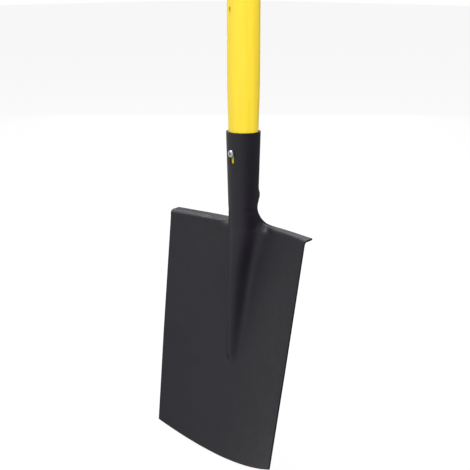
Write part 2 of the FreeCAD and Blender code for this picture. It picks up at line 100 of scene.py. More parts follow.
# ---------------------------------------------------------------- mesh helpers
def new_piece(name, mesh, slot, materials, *replaced):
    mesh.materials.clear()
    for material in materials:
        mesh.materials.append(material)
    piece = bpy.data.objects.new(name, mesh)
    bpy.context.scene.collection.objects.link(piece)
    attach(piece, BODY)
    if replaced:
        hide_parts(*replaced)
    return piece


def mesh_of(name, points, faces):
    """Mesh from points in millimetres."""
    mesh = bpy.data.meshes.new(name)
    mesh.from_pydata([Vector(p) * MM for p in points], [], faces)
    mesh.validate()
    return mesh


def scratch(mesh):
    thing = bpy.data.objects.new(mesh.name + "_scratch", mesh)
    bpy.context.scene.collection.objects.link(thing)
    return thing


def baked(thing, name):
    """Mesh of a scratch object with its modifiers applied; the object goes away."""
    bpy.context.view_layer.update()
    graph = bpy.context.evaluated_depsgraph_get()
    mesh = bpy.data.meshes.new_from_object(thing.evaluated_get(graph))
    mesh.name = name
    bpy.data.objects.remove(thing)
    return mesh


def smooth_shaded(mesh, sharp_angle=35.0):
    """Smooth shading that keeps edges sharper than the angle crisp."""
    work = bmesh.new()
    work.from_mesh(mesh)
    bmesh.ops.remove_doubles(work, verts=work.verts, dist=1e-6)
    bmesh.ops.recalc_face_normals(work, faces=work.faces)
    limit = math.radians(sharp_angle)
    for face in work.faces:
        face.smooth = True
    for edge in work.edges:
        edge.smooth = not (len(edge.link_faces) == 2 and edge.calc_face_angle() > limit)
    work.to_mesh(mesh)
    work.free()
    return mesh


def cut_away(mesh, *cutters):
    """Mesh with the cutter meshes taken out of it."""
    thing = scratch(mesh)
    tools = [scratch(cutter) for cutter in cutters]
    for tool in tools:
        modifier = thing.modifiers.new("cut", "BOOLEAN")
        modifier.operation, modifier.solver, modifier.object = "DIFFERENCE", "EXACT", tool
    result = baked(thing, mesh.name)
    for tool in tools:
        bpy.data.objects.remove(tool)
    return result


def softened(corners, steps=5):
    """Closed outline in which a corner given as (r, z, reach) is rounded over that reach."""
    outline = []
    for k, corner in enumerate(corners):
        here = Vector(corner[:2])
        if len(corner) < 3:
            outline.append(tuple(here))
            continue
        before, after = (Vector(corners[j % len(corners)][:2]) for j in (k - 1, k + 1))
        start = here + (before - here).normalized() * corner[2]
        end = here + (after - here).normalized() * corner[2]
        for j in range(steps + 1):
            s = j / steps
            outline.append(tuple((1 - s) ** 2 * start + 2 * s * (1 - s) * here + s * s * end))
    return outline


UPRIGHT = Matrix.Identity(4)
TO_FRONT = Matrix.Rotation(math.radians(90), 4, "X")
TO_BACK = Matrix.Rotation(math.radians(-90), 4, "X")
TO_RIGHT = Matrix.Rotation(math.radians(90), 4, "Y")
TO_LEFT = Matrix.Rotation(math.radians(-90), 4, "Y")


def turned_mesh(name, outline, origin, facing=UPRIGHT, steps=72):
    """Turning about a local +Z that is laid along an axis; the outline is a closed loop of (r, z)."""
    points, faces = [], []
    count = len(outline)
    for k in range(steps):
        turn = 2 * math.pi * k / steps
        points += [(r * math.cos(turn), r * math.sin(turn), z) for r, z in outline]
    for k in range(steps):
        here, there = k * count, (k + 1) % steps * count
        for j in range(count):
            i = (j + 1) % count
            if outline[j][0] > 0 or outline[i][0] > 0:
                faces.append([here + j, there + j, there + i, here + i])
    mesh = mesh_of(name, points, faces)
    mesh.transform(Matrix.Translation(Vector(origin) * MM) @ facing)
    return smooth_shaded(mesh)


def rod_mesh(name, radius, low, high, origin, facing=UPRIGHT, steps=48):
    return turned_mesh(name, [(0, low), (radius, low), (radius, high), (0, high)], origin, facing, steps)


def box_mesh(name, low, high, taper=1.0):
    """Upright block; its low end is drawn in by the taper."""
    points = [(x * taper if z == low[2] else x, y * taper if z == low[2] else y, z)
              for z in (low[2], high[2]) for x, y in
              ((low[0], low[1]), (high[0], low[1]), (high[0], high[1]), (low[0], high[1]))]
    faces = [[3, 2, 1, 0], [4, 5, 6, 7]]
    faces += [[k, (k + 1) % 4, (k + 1) % 4 + 4, k + 4] for k in range(4)]
    return mesh_of(name, points, faces)


# ---------------------------------------------------------------- finishes
class Finish:
    """A node material whose colour drifts, whose gloss is uneven and whose surface has a fine grain."""

    def __init__(self, name, stretch=(1, 1, 1)):
        self.material = bpy.data.materials.new(name)
        self.material.use_nodes = True
        self.nodes, self.links = self.material.node_tree.nodes, self.material.node_tree.links
        self.shader = self.nodes["Principled BSDF"]
        self.place = self.nodes.new("ShaderNodeMapping")
        self.place.inputs["Scale"].default_value = stretch
        self.links.new(self.nodes.new("ShaderNodeTexCoord").outputs["Object"], self.place.inputs["Vector"])

    def noise(self, pitch, detail=2.0, rough=0.5):
        """Noise whose features are about one pitch apart, in millimetres."""
        texture = self.nodes.new("ShaderNodeTexNoise")
        texture.inputs["Scale"].default_value = 1 / (pitch * MM)
        texture.inputs["Detail"].default_value = detail
        texture.inputs["Roughness"].default_value = rough
        self.links.new(self.place.outputs["Vector"], texture.inputs["Vector"])
        return texture.outputs["Fac"]

    def drift(self, first, second, factor, low=0.3, high=0.7):
        """Colour between two tones."""
        ramp = self.nodes.new("ShaderNodeValToRGB")
        ramp.color_ramp.elements[0].position, ramp.color_ramp.elements[0].color = low, (*first, 1)
        ramp.color_ramp.elements[1].position, ramp.color_ramp.elements[1].color = high, (*second, 1)
        self.links.new(factor, ramp.inputs["Fac"])
        self.links.new(ramp.outputs["Color"], self.shader.inputs["Base Color"])
        return self

    def gloss(self, low, high, factor):
        """Roughness between two values."""
        span = self.nodes.new("ShaderNodeMapRange")
        span.inputs["From Min"].default_value, span.inputs["From Max"].default_value = 0.3, 0.7
        span.inputs["To Min"].default_value, span.inputs["To Max"].default_value = low, high
        self.links.new(factor, span.inputs["Value"])
        self.links.new(span.outputs["Result"], self.shader.inputs["Roughness"])
        return self

    def grain(self, depth, *factors):
        """Surface relief of a depth in millimetres for each factor, one on top of another."""
        for factor in factors:
            bump = self.nodes.new("ShaderNodeBump")
            bump.inputs["Distance"].default_value = depth * MM
            self.links.new(factor, bump.inputs["Height"])
            before = self.shader.inputs["Normal"]
            if before.is_linked:
                self.links.new(before.links[0].from_socket, bump.inputs["Normal"])
            self.links.new(bump.outputs["Normal"], before)
        return self

    def shine(self, metallic=0.0, level=0.5):
        self.shader.inputs["Metallic"].default_value = metallic
        self.shader.inputs["Specular IOR Level"].default_value = level
        return self


def powder_coat():
    """Satin black powder coat: faintly violet black with a fine orange-peel skin."""
    paint = Finish("satin_black_powder_coat")
    paint.drift((0.0078, 0.0066, 0.0108), (0.0104, 0.0090, 0.0142), paint.noise(24, 4))
    paint.gloss(0.40, 0.50, paint.noise(9, 3))
    paint.grain(0.035, paint.noise(0.9, 3), paint.noise(3.5, 2))
    return paint.shine(level=0.5).material


def yellow_plastic():
    """Smooth yellow sheath, with faint streaks along the shaft from its extrusion."""
    plastic = Finish("yellow_sheath_plastic", stretch=(1, 1, 0.04))
    plastic.drift((0.90, 0.65, 0.036), (0.94, 0.71, 0.046), plastic.noise(5, 3))
    plastic.gloss(0.30, 0.40, plastic.noise(3, 3))
    plastic.grain(0.012, plastic.noise(1.2, 2))
    plastic.shader.inputs["Subsurface Weight"].default_value = 0.12
    plastic.shader.inputs["Subsurface Radius"].default_value = (1.0, 0.6, 0.1)
    plastic.shader.inputs["Subsurface Scale"].default_value = 2.0 * MM
    return plastic.shine(level=0.5).material


def dent_painted_shade():
    """Bottom of the small locating dent, painted a deeper orange than the sheath round it: painted shade
    inside the dent.
    """
    plastic = Finish("locating_mark_painted_shade")
    plastic.drift((0.72, 0.30, 0.010), (0.80, 0.38, 0.014), plastic.noise(1.5, 2))
    plastic.gloss(0.40, 0.50, plastic.noise(1, 2))
    return plastic.material


def zinc_plate():
    """Bright zinc on turned steel: fine polishing marks and slightly uneven gloss."""
    metal = Finish("bright_zinc_plate")
    metal.drift((0.60, 0.61, 0.63), (0.78, 0.79, 0.80), metal.noise(1.6, 3))
    metal.gloss(0.24, 0.40, metal.noise(0.7, 3))
    metal.grain(0.010, metal.noise(0.35, 2))
    return metal.shine(metallic=1.0).material


def moulded_black():
    """Hard black plastic with a fine spark-eroded skin."""
    plastic = Finish("black_moulded_plastic")
    plastic.drift((0.012, 0.012, 0.013), (0.019, 0.019, 0.020), plastic.noise(14, 3))
    plastic.gloss(0.48, 0.60, plastic.noise(2.5, 3))
    plastic.grain(0.05, plastic.noise(0.8, 3, 0.6))
    return plastic.material


def soft_touch():
    """Matt black soft grip, pebbled, with a faintly patchy tone."""
    rubber = Finish("soft_black_rubber")
    rubber.drift((0.014, 0.014, 0.014), (0.028, 0.028, 0.029), rubber.noise(7, 4))
    rubber.gloss(0.70, 0.85, rubber.noise(1.5, 3))
    rubber.grain(0.08, rubber.noise(1.1, 2), rubber.noise(0.5, 1))
    return rubber.shine(level=0.35).material


def glass_fibre():
    """Pultruded glass fibre: pale resin with long strands."""
    tube = Finish("pultruded_glass_fibre", stretch=(1, 1, 0.02))
    tube.drift((0.62, 0.58, 0.42), (0.80, 0.76, 0.60), tube.noise(1.2, 4))
    tube.gloss(0.30, 0.50, tube.noise(0.8, 3))
    tube.grain(0.04, tube.noise(0.7, 3))
    return tube.material


def turned_wood():
    """Plain turned hardwood with its grain along the shaft."""
    wood = Finish("turned_hardwood", stretch=(1, 1, 0.08))
    wood.drift((0.30, 0.17, 0.075), (0.52, 0.34, 0.17), wood.noise(3, 5, 0.6))
    wood.gloss(0.55, 0.75, wood.noise(1.5, 3))
    wood.grain(0.08, wood.noise(0.8, 4, 0.6))
    return wood.material


# ---------------------------------------------------------------- head
# distance out from the ridge's middle and share of its height, at the treads and at its nose
RIDGE_SECTION = [(0.0, 1.0), (5.8, 0.955), (10.5, 0.83), (13.8, 0.65), (15.6, 0.46),
                 (17.5, 0.28), (20.4, 0.13), (25.5, 0.03), (32.0, 0.0)]
NOSE_SECTION = [(0.0, 1.0), (5.5, 0.93), (10.0, 0.77), (14.0, 0.57), (18.0, 0.38),
                (22.0, 0.22), (27.0, 0.09), (34.0, 0.02), (44.0, 0.0)]
# distance down the blade, height of the crest, and width as a share of the sections above
RIDGE_RUN = [(8.5, 24.2, 0.98), (15, 23.7, 0.93), (25, 22.9, 0.83), (40, 21.5, 0.70), (58, 19.4, 0.59),
             (78, 17.0, 0.53), (100, 14.2, 0.49), (122, 11.4, 0.45), (140, 9.0, 0.40), (148, 7.9, 0.37),
             (154, 6.4, 0.34), (158.5, 4.0, 0.30), (162.5, 1.4, 0.25), (168, 0.0, 0.22)]
NOSE_BLEND = (20.0, 130.0)         # the section turns from the first to the second between these
BLADE_ROWS = (278.5, 275.0, 262.0, 235.0, 205.0, 180.0, 168.0, 162.5, 158.5, 154.0, 148.0, 140.0,
              122.0, 100.0, 78.0, 58.0, 40.0, 25.0, 15.0, 8.5)
RING_STEP = math.radians(22.5)
RING_GAIN = 3 / (2 + math.cos(RING_STEP))
NECK = len(RIDGE_SECTION) - 1      # columns each side that run up into the socket
OUTER_SHARES = (0.12, 0.3, 0.5, 0.7, 0.87, 0.965, 1.0)


def half_width(down):
    return HALF_TOP + (HALF_TIP - HALF_TOP) * down / BLADE_LENGTH


def edge_reach(across):
    """Distance from the treads down to the cutting edge, across the blade."""
    radius = (HALF_TIP ** 2 + EDGE_SAG ** 2) / (2 * EDGE_SAG)
    return BLADE_LENGTH - radius + math.sqrt(radius ** 2 - min(across, radius) ** 2)


def blade_point(across, up, back):
    """Point near the dished sheet: up from the tread plane, back from the middle of the sheet."""
    reach = math.sqrt(DISH_RADIUS ** 2 - across ** 2) + GAUGE / 2 + back
    centre_y = AXIS_Y + BLADE_SETBACK - DISH_RADIUS * math.cos(LIFT)
    centre_z = TREAD_Z + DISH_RADIUS * math.sin(LIFT)
    return (across, centre_y + reach * math.cos(LIFT) + up * math.sin(LIFT),
            centre_z - reach * math.sin(LIFT) + up * math.cos(LIFT))


def socket_radius(height):
    """Middle of the rolled sheet at a height above the ground."""
    return FOOT_RADIUS - GAUGE / 2 + (RIM_RADIUS - FOOT_RADIUS) * (height - TREAD_Z) / (RIM_Z - TREAD_Z)


def blade_row(down):
    """Right half of one row of the blade's cage, from the middle out."""
    stations, heights, widths = zip(*RIDGE_RUN)
    crest, spread = float(np.interp(down, stations, heights)), float(np.interp(down, stations, widths))
    start, end = NOSE_BLEND
    soft = min(max((down - start) / (end - start), 0.0), 1.0)
    row = [(spread * (a + (c - a) * soft), crest * (b + (d - b) * soft))
           for (a, b), (c, d) in zip(RIDGE_SECTION, NOSE_SECTION)]
    edge, side = row[-1][0], half_width(down)
    row += [(edge + (side - edge) * share, 0.0) for share in OUTER_SHARES]
    points = []
    for across, proud in row:
        deep = down
        if down > EDGE_START:
            stretch = (edge_reach(across) - EDGE_START) / (BLADE_LENGTH - EDGE_START)
            deep = EDGE_START + (down - EDGE_START) * stretch
        points.append(blade_point(across, -deep, -proud))
    return points


def bend_row(turn, height_middle, edge_point, flange=None):
    """Row of the cage round the tread bend; its inner columns climb the neck."""
    if flange is None:
        pull = 3 / (2 + math.cos(math.radians(30)))
        up = -GAUGE / 2 - TREAD_DROP - BEND_RADIUS + BEND_RADIUS * pull * math.sin(turn)
        back = BEND_RADIUS - BEND_RADIUS * pull * math.cos(turn)
    else:
        share = (flange - BEND_RADIUS) / (TREAD_DEPTH - GAUGE / 2 - BEND_RADIUS)
        up, back = -GAUGE / 2 - TREAD_DROP + (TREAD_DROP + TREAD_RISE) * share, flange
    row = neck_row(height_middle, edge_point)
    side = half_width(0)
    inner = edge_point[0]
    for share in OUTER_SHARES:
        outer = max(0.0, share - FLARE_START) / (1 - FLARE_START)
        deeper = TREAD_FLARE * outer * back / TREAD_DEPTH
        row.append(blade_point(inner + (side - inner) * share, up, back + deeper))
    return row


def neck_row(height, edge_point):
    """Right half of an open row of the neck: round the front, then out to its free edge."""
    radius = socket_radius(height) * RING_GAIN
    row = [(radius * math.sin(RING_STEP * k), AXIS_Y - radius * math.cos(RING_STEP * k), height)
           for k in range(5)]
    side = Vector(row[-1])
    free = Vector((edge_point[0], AXIS_Y + edge_point[1], edge_point[2]))
    turn = Vector((side.x + 0.14 * (free.x - side.x), AXIS_Y + 0.82 * edge_point[1],
                   0.5 * (height + free.z)))
    for k in range(1, NECK - 3):
        share = k / (NECK - 4)
        row.append(tuple((1 - share) ** 2 * side + 2 * share * (1 - share) * turn + share ** 2 * free))
    return row


def socket_row(height, reach, lip=0.0):
    """Right half of a row of the rolled socket, which reaches that many degrees round from the front."""
    step = math.radians(reach) / NECK
    gain = 3 / (2 + math.cos(step))
    row = []
    for k in range(NECK + 1):
        radius = socket_radius(height) * gain + lip * max(0, k - NECK + 2) / 2
        row.append((radius * math.sin(step * k), AXIS_Y - radius * math.cos(step * k), height))
    return row


def head_cage():
    """Rows of the control cage from the cutting edge up to the rim."""
    rows = [blade_row(down) for down in BLADE_ROWS]
    z = TREAD_Z
    rows += [
        bend_row(0.0, z - 4, (31.0, 8.8, z - 5.0)),
        bend_row(math.radians(30), z - 1, (30.0, 9.6, z - 3.2)),
        bend_row(math.radians(60), z + 2, (28.5, 11.4, z - 2.0)),
        bend_row(0, z + 4.5, (26.2, 13.4, z - 1.2), flange=BEND_RADIUS),
        bend_row(0, z + 7.5, (22.2, 14.8, z - 0.6), flange=TREAD_DEPTH - GAUGE / 2),
        neck_row(z + 10.5, (16.7, 12.8, z + 3.5)),
        neck_row(z + 14, (13.6, 10.8, z + 9.0)),
        socket_row(z + 18, 112),
        socket_row(z + 24, 120),
        socket_row(z + 30, 133, lip=1.2),
        socket_row(z + 35, 150, lip=2.4),
        socket_row(z + 40, 168, lip=0.8),
        socket_row(z + 46, 178.2),
    ]
    top = RIM_Z
    rows += [socket_row(height, 178.6) for height in np.linspace(z + 56, top - 8, 4)]
    rows += [socket_row(top - 2.5, 178.6), socket_row(top, 178.6)]
    return rows


def head_mesh():
    rows = head_cage()
    points, index = [], {}
    for r, row in enumerate(rows):
        for k, point in enumerate(row):
            for sign in ((1,) if k == 0 else (1, -1)):
                index[r, k * sign] = len(points)
                points.append((point[0] * sign, point[1], point[2]))
    faces = []
    for r in range(len(rows) - 1):
        reach = min(len(rows[r]), len(rows[r + 1])) - 1
        for k in range(-reach, reach):
            faces.append([index[r, k], index[r, k + 1], index[r + 1, k + 1], index[r + 1, k]])
    thing = scratch(mesh_of("spade_head_sheet", points, faces))
    smooth = thing.modifiers.new("smooth", "SUBSURF")
    smooth.levels = smooth.render_levels = 2
    smooth.boundary_smooth = "PRESERVE_CORNERS"
    thick = thing.modifiers.new("gauge", "SOLIDIFY")
    thick.thickness, thick.offset, thick.use_even_offset = GAUGE * MM, 0.0, True
    soften = thing.modifiers.new("edges", "BEVEL")
    soften.width, soften.segments, soften.limit_method = 0.45 * MM, 2, "ANGLE"
    soften.angle_limit = math.radians(55)
    return baked(thing, "spade_head_sheet")


def slot_cutter():
    """Round-ended slot through the front of the socket."""
    half, front = SLOT_WIDTH / 2, AXIS_Y - 1.4 * RIM_RADIUS
    low, high = SLOT_BOTTOM + half, SLOT_TOP - half
    outline = []
    steps = 12
    for centre, start in ((high, 0.0), (low, math.pi)):
        for k in range(steps + 1):
            turn = start + math.pi * k / steps
            outline.append((half * math.cos(turn), centre + half * math.sin(turn)))
    count = len(outline)
    points = [(x, front, z) for x, z in outline] + [(x, AXIS_Y - 10, z) for x, z in outline]
    faces = [list(range(count)), list(range(2 * count - 1, count - 1, -1))]
    faces += [[k, k + count, (k + 1) % count + count, (k + 1) % count] for k in range(count)]
    return mesh_of("slot_cutter", points, faces)


def make_head(paint):
    mesh = smooth_shaded(cut_away(head_mesh(), slot_cutter()))
    return new_piece("spade_head_pressing", mesh, "black_coated_steel", [paint], "spade_head")


# ---------------------------------------------------------------- shaft and its screw
MARK_Z, MARK_ANGLE = 509.0, math.radians(-12.0)
MARK_HALF_WIDTH, MARK_HALF_HEIGHT, MARK_DEPTH = 1.7, 3.3, 1.4
CORE_RADIUS = 12.5
SPIGOT_RADIUS = 17.3
SCREW_RADIUS, CROSS_RADIUS = 2.4, 2.5
TAPER_TOP = RIM_Z + 53.0


def mark_cutter():
    """Small upright oval dent in the sheath."""
    steps = 24
    outline = [(math.sin(math.pi * k / steps), -math.cos(math.pi * k / steps)) for k in range(steps + 1)]
    mesh = turned_mesh("mark_cutter", [(r * 1000, z * 1000) for r, z in outline], (0, 0, 0), steps=32)
    size = Matrix.Diagonal((MARK_HALF_WIDTH, MARK_DEPTH, MARK_HALF_HEIGHT, 1)) @ Matrix.Scale(MM, 4)
    where = Matrix.Translation(Vector((0, AXIS_Y, MARK_Z)) * MM) @ Matrix.Rotation(MARK_ANGLE, 4, "Z")
    mesh.transform(where @ Matrix.Translation((0, -SHAFT_RADIUS * MM, 0)) @ size)
    return mesh


def make_sheath(plastic, dent_shade):
    """Smooth tube that tapers into the socket and steps down inside the grip."""
    foot, top, mouth = SHEATH_LOW.z, SHEATH_HIGH.z, COLLAR_LOW.z
    outline = softened([
        (CORE_RADIUS, foot), (14.9, foot, 0.8), (16.55, RIM_Z), (SHAFT_RADIUS, TAPER_TOP, 22.0),
        (SHAFT_RADIUS, mouth, 0.3), (SPIGOT_RADIUS, mouth), (SPIGOT_RADIUS, top, 0.6), (CORE_RADIUS, top)],
        steps=8)
    mesh = turned_mesh("shaft_sheath_tube", outline, (0, AXIS_Y, 0), steps=128)
    mesh = cut_away(mesh, mark_cutter(),
                    rod_mesh("pilot", SCREW_RADIUS, -40, 40, (0, AXIS_Y, SCREW_Z), TO_FRONT),
                    rod_mesh("cross_hole", CROSS_RADIUS, -40, 40, (0, AXIS_Y, CROSS_Z), TO_FRONT))
    smooth_shaded(mesh)
    sheath = new_piece("shaft_sheath_tube", mesh, "yellow_sheath", [plastic, dent_shade], "shaft_sheath")
    # faces on the bottom of the dent get material 1, a deeper orange that is painted shade of the dent
    for face in mesh.polygons:
        middle = face.center / MM
        inside = math.hypot(middle.x, middle.y - AXIS_Y) < SHAFT_RADIUS - 0.12
        near_mark = abs(middle.z - MARK_Z) < MARK_HALF_HEIGHT and abs(middle.x) < 10 and middle.y < AXIS_Y
        face.material_index = 1 if inside and near_mark and middle.y < AXIS_Y - CORE_RADIUS - 1 else 0
    return sheath


def pan_head_mesh(name, radius, height, seat, facing, shank_radius, shank_length, pitch):
    """Domed cross-recess screw, threaded by close rings, with its head on a seat."""
    rings = []
    turns = int((shank_length - 3) / pitch)
    for k in range(turns):
        deep = -shank_length + 3 + k * pitch
        rings += [(0.8 * shank_radius, deep), (shank_radius, deep + 0.5 * pitch)]
    dome = [(0.5 * radius + radius * 0.5 * math.sin(t), 0.45 * height + 0.55 * height * math.cos(t))
            for t in np.linspace(math.pi / 2, 0, 8)]
    outline = [(0, -shank_length), *rings, (shank_radius, -0.2), (shank_radius, 0), (radius - 0.15, 0),
               (radius, 0.15), *dome, (0, height)]
    mesh = turned_mesh(name, outline, seat, facing, steps=64)
    wings = []
    for half_length, half_width in ((0.58, 0.13), (0.13, 0.58)):
        wing = box_mesh("wing", (-half_length * radius, -half_width * radius, 0.25 * height),
                        (half_length * radius, half_width * radius, 1.2 * height), taper=0.55)
        wing.transform(Matrix.Translation(Vector(seat) * MM) @ facing @ Matrix.Rotation(0.35, 4, "Z"))
        wings.append(wing)
    return smooth_shaded(cut_away(mesh, *wings), 30)


def make_socket_screw(zinc):
    radius = (SCREW_HIGH.z - SCREW_LOW.z) / 2
    seat_y = AXIS_Y - socket_radius(SCREW_Z) - GAUGE / 2
    mesh = pan_head_mesh("socket_pan_head_screw", radius, seat_y - SCREW_LOW.y, (0, seat_y, SCREW_Z),
                         TO_FRONT, SCREW_RADIUS, SCREW_HIGH.y - seat_y, 1.6)
    return new_piece("socket_pan_head_screw", mesh, "zinc_steel", [zinc], "socket_screw")


# ---------------------------------------------------------------- grip
EAR_INNER, EAR_OUTER, EAR_RADIUS = 49.0, YOKE_HIGH.x, 16.0
SEAT_RADIUS, SEAT_DEPTH = 8.5, 8.5
BOLT_WAY_RADIUS = 3.0
YOKE_FOOT = YOKE_LOW.z
SHOULDER_Z = YOKE_FOOT + 66.0
CROTCH_Z = YOKE_FOOT + 97.0


def swept_mesh(name, path, sections, steps=32):
    """Closed tube along a path; each section is (half width in the XZ plane, half depth along Y)."""
    points, faces = [], []
    for k, here in enumerate(path):
        ahead = path[min(k + 1, len(path) - 1)] - path[max(k - 1, 0)]
        across = Vector((ahead.z, 0, -ahead.x)).normalized()
        wide, deep = sections[k]
        for j in range(steps):
            turn = 2 * math.pi * j / steps
            side, front = math.cos(turn), math.sin(turn)
            squareness = 1 / (abs(side) ** 2.6 + abs(front) ** 2.6) ** (1 / 2.6)
            points.append(here + across * (wide * side * squareness)
                          + Vector((0, deep * front * squareness, 0)))
    for k in range(len(path) - 1):
        for j in range(steps):
            i = (j + 1) % steps
            faces.append([k * steps + j, k * steps + i, (k + 1) * steps + i, (k + 1) * steps + j])
    faces += [list(range(steps - 1, -1, -1)), [(len(path) - 1) * steps + j for j in range(steps)]]
    return mesh_of(name, points, faces)


def bezier(a, b, c, d, count):
    """Points along a cubic curve."""
    shares = [k / (count - 1) for k in range(count)]
    return [a * (1 - s) ** 3 + b * (3 * s * (1 - s) ** 2) + c * (3 * s * s * (1 - s)) + d * s ** 3
            for s in shares]


def arm_mesh(sign):
    """One arm of the Y, from the crotch out and up into its ear."""
    centre = (EAR_INNER + EAR_OUTER) / 2
    at = lambda x, z: Vector((sign * x, AXIS_Y, z))
    path = bezier(at(8, SHOULDER_Z), at(17, CROTCH_Z + 12), at(centre - 3, CROTCH_Z + 26),
                  at(centre, BAR_Z - 30), 24)
    path += [at(centre, BAR_Z - 30 + rise) for rise in (8, 16, 24, 30)]
    half = (EAR_OUTER - EAR_INNER) / 2
    sections = []
    for k in range(len(path)):
        share = min(k / 23, 1.0)
        sections.append((half + 4.5 * (1 - share) ** 1.5, EAR_RADIUS - 2.2 * math.sin(math.pi * share)
                         + 3.0 * (1 - share) ** 2))
    return swept_mesh("arm", path, sections)


def merged(name, meshes):
    """One mesh that holds several, still as separate shells."""
    work = bmesh.new()
    for mesh in meshes:
        work.from_mesh(mesh)
    result = bpy.data.meshes.new(name)
    work.to_mesh(result)
    work.free()
    return result


def moulded(name, meshes, voxel, passes):
    """Shells run together into one moulding with soft fillets where they meet."""
    thing = scratch(merged(name, meshes))
    grow = thing.modifiers.new("together", "REMESH")
    grow.mode, grow.voxel_size, grow.use_smooth_shade = "VOXEL", voxel * MM, True
    relax = thing.modifiers.new("fillets", "SMOOTH")
    relax.factor, relax.iterations = 0.5, passes
    return baked(thing, name)


def make_yoke(plastic):
    """Moulded Y: shaft socket with flat bolt bosses, two arms and two ears."""
    middle = (0, AXIS_Y, 0)
    tube = turned_mesh("tube", softened([
        (0, YOKE_FOOT), (YOKE_RADIUS - 0.2, YOKE_FOOT, 1.0), (YOKE_RADIUS - 0.2, SHOULDER_Z, 14.0),
        (17.0, CROTCH_Z - 9, 6.0), (0, CROTCH_Z - 2)]), middle)
    boss = rod_mesh("boss", 8.0, -YOKE_RADIUS, YOKE_RADIUS, (0, AXIS_Y, CROSS_Z), TO_FRONT)
    ears = [turned_mesh("ear", softened([
        (0, EAR_INNER), (EAR_RADIUS, EAR_INNER, 1.5), (EAR_RADIUS, EAR_OUTER, 4.0), (0, EAR_OUTER)]),
        (0, AXIS_Y, BAR_Z), facing) for facing in (TO_RIGHT, TO_LEFT)]
    shell = moulded("yoke_moulding", [tube, boss, *ears, arm_mesh(1), arm_mesh(-1)], 1.1, 5)
    cutters = [rod_mesh("bore", SPIGOT_RADIUS, YOKE_FOOT - 5, SHEATH_HIGH.z, middle, steps=96),
               rod_mesh("bolt_way", BOLT_WAY_RADIUS, -80, 80, (0, AXIS_Y, BAR_Z), TO_RIGHT),
               rod_mesh("cross_way", CROSS_RADIUS, -40, 40, (0, AXIS_Y, CROSS_Z), TO_FRONT)]
    for facing in (TO_RIGHT, TO_LEFT):
        cutters.append(turned_mesh("seat", softened([
            (0, EAR_OUTER - SEAT_DEPTH), (SEAT_RADIUS, EAR_OUTER - SEAT_DEPTH),
            (SEAT_RADIUS, EAR_OUTER - 1.2, 0.4), (SEAT_RADIUS + 2.5, EAR_OUTER + 1.3),
            (0, EAR_OUTER + 1.3)]), (0, AXIS_Y, BAR_Z), facing))
    mesh = smooth_shaded(cut_away(shell, *cutters), 40)
    return new_piece("d_grip_yoke", mesh, "black_moulding", [plastic], "grip_yoke")


def make_collar(rubber):
    """Soft ring that closes the gap between the yoke and the shaft, with two grooves."""
    low, high = COLLAR_LOW.z, COLLAR_HIGH.z
    outline = [(SPIGOT_RADIUS, low), (18.3, low, 0.3), (20.2, low + 3.6, 1.2), (20.5, low + 5.4, 0.2),
               (19.9, low + 5.9, 0.2), (20.6, low + 6.4, 0.2), (20.9, low + 8.2, 0.2), (20.3, low + 8.7, 0.2),
               (21.0, low + 9.2, 0.2), (21.4, high, 0.4), (SPIGOT_RADIUS, high)]
    mesh = turned_mesh("grip_mouth_collar", softened(outline, 3), (0, AXIS_Y, 0), steps=96)
    return new_piece("grip_mouth_collar", mesh, "soft_black", [rubber], "grip_collar")


def make_pad(rubber):
    """Soft hand grip: barrel-shaped, with shallow grooves round it."""
    half = PAD_HIGH.x
    crown = BAR_Z - PAD_LOW.z
    groove_pitch, groove_depth = 7.0, 0.7
    outside = []
    for x in np.linspace(-half + 1.8, half - 1.8, 240):
        barrel = crown - 1.6 * (x / half) ** 2
        phase = abs((x / groove_pitch + 0.5) % 1 - 0.5) * groove_pitch
        ridge = groove_depth * max(0.0, 1 - (phase / 1.1) ** 2) ** 2 if abs(x) < half - 8 else 0.0
        outside.append((barrel - ridge, x))
    end = crown - 1.6
    outline = [(12.5, -half), (end - 1.9, -half), (end - 0.6, -half + 0.6), *outside,
               (end - 0.6, half - 0.6), (end - 1.9, half), (12.5, half)]
    mesh = turned_mesh("soft_hand_grip", outline, (0, AXIS_Y, BAR_Z), TO_RIGHT, steps=96)
    return new_piece("soft_hand_grip", mesh, "soft_black", [rubber], "grip_soft_pad")


def make_end_cap(side, facing, plastic):
    """Slightly domed cap pressed into the ear, with a shallow ring."""
    low, high = cad_box("grip_end_cap_" + side)
    thick = high.x - low.x
    outer = EAR_OUTER - 0.05
    radius = SEAT_RADIUS - 0.12
    outline = [(0, outer - thick), (radius, outer - thick), (radius, outer - 0.55, 0.2),
               (radius - 0.7, outer - 0.3, 0.3), (5.4, outer - 0.15, 0.3), (5.0, outer - 0.5, 0.2),
               (4.2, outer - 0.5, 0.2), (3.8, outer - 0.12, 0.3), (0, outer)]
    mesh = turned_mesh("ear_cap_" + side, softened(outline, 3), (0, AXIS_Y, BAR_Z), facing)
    return new_piece("ear_cap_" + side, mesh, "black_moulding", [plastic], "grip_end_cap_" + side)


